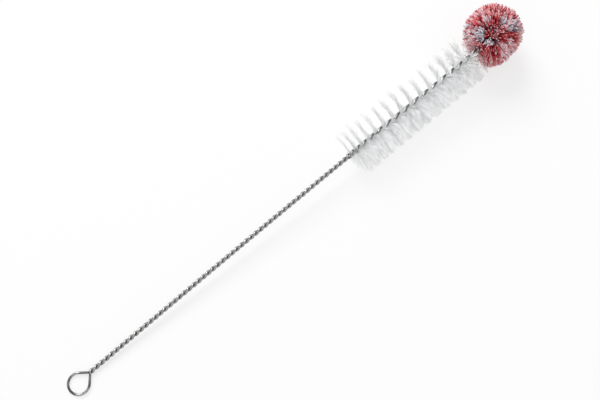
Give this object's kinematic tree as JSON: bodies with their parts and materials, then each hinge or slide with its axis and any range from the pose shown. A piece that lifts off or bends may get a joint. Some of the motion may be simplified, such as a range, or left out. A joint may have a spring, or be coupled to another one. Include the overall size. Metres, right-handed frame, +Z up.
{
  "type": "bottle brush",
  "caption": "Twisted-wire bottle brush with nylon bristles in a spiral, a trimmed yarn ball on the tip and a hanging eye at the end of the shank.",
  "frame": {"origin": "middle of the base of the bounding box, on the surface that the brush lies on", "axes": "+X along the brush from the hanging eye to the yarn tip, level; +Z up, square to the surface; the wire itself rises by about 3.2 degrees from the eye to the tip, and the eye lies flat"},
  "size_m": [0.3866, 0.0408, 0.0414],
  "materials": {
    "galvanised_wire": "satin",
    "nylon_filament": "satin",
    "yarn_red": "matte",
    "yarn_grey_blue": "matte",
    "yarn_pale_pink": "matte"
  },
  "bodies": {
    "root": {"wire": "galvanised_wire", "bristle_row_01": "nylon_filament", "bristle_row_02": "nylon_filament", "bristle_row_03": "nylon_filament", "bristle_row_04": "nylon_filament", "bristle_row_05": "nylon_filament", "bristle_row_06": "nylon_filament", "bristle_row_07": "nylon_filament", "bristle_row_08": "nylon_filament", "bristle_row_09": "nylon_filament", "bristle_row_10": "nylon_filament", "bristle_row_11": "nylon_filament", "bristle_row_12": "nylon_filament", "bristle_row_13": "nylon_filament", "bristle_row_14": "nylon_filament", "bristle_row_15": "nylon_filament", "yarn_bundle_01": "yarn_red", "yarn_bundle_02": "yarn_grey_blue", "yarn_bundle_03": "yarn_pale_pink", "yarn_bundle_04": "yarn_grey_blue", "yarn_bundle_05": "yarn_pale_pink", "yarn_bundle_06": "yarn_red", "yarn_bundle_07": "yarn_pale_pink", "yarn_bundle_08": "yarn_red", "yarn_bundle_09": "yarn_grey_blue", "yarn_bundle_10": "yarn_red", "yarn_bundle_11": "yarn_grey_blue", "yarn_bundle_12": "yarn_pale_pink"}
  },
  "joints": []
}
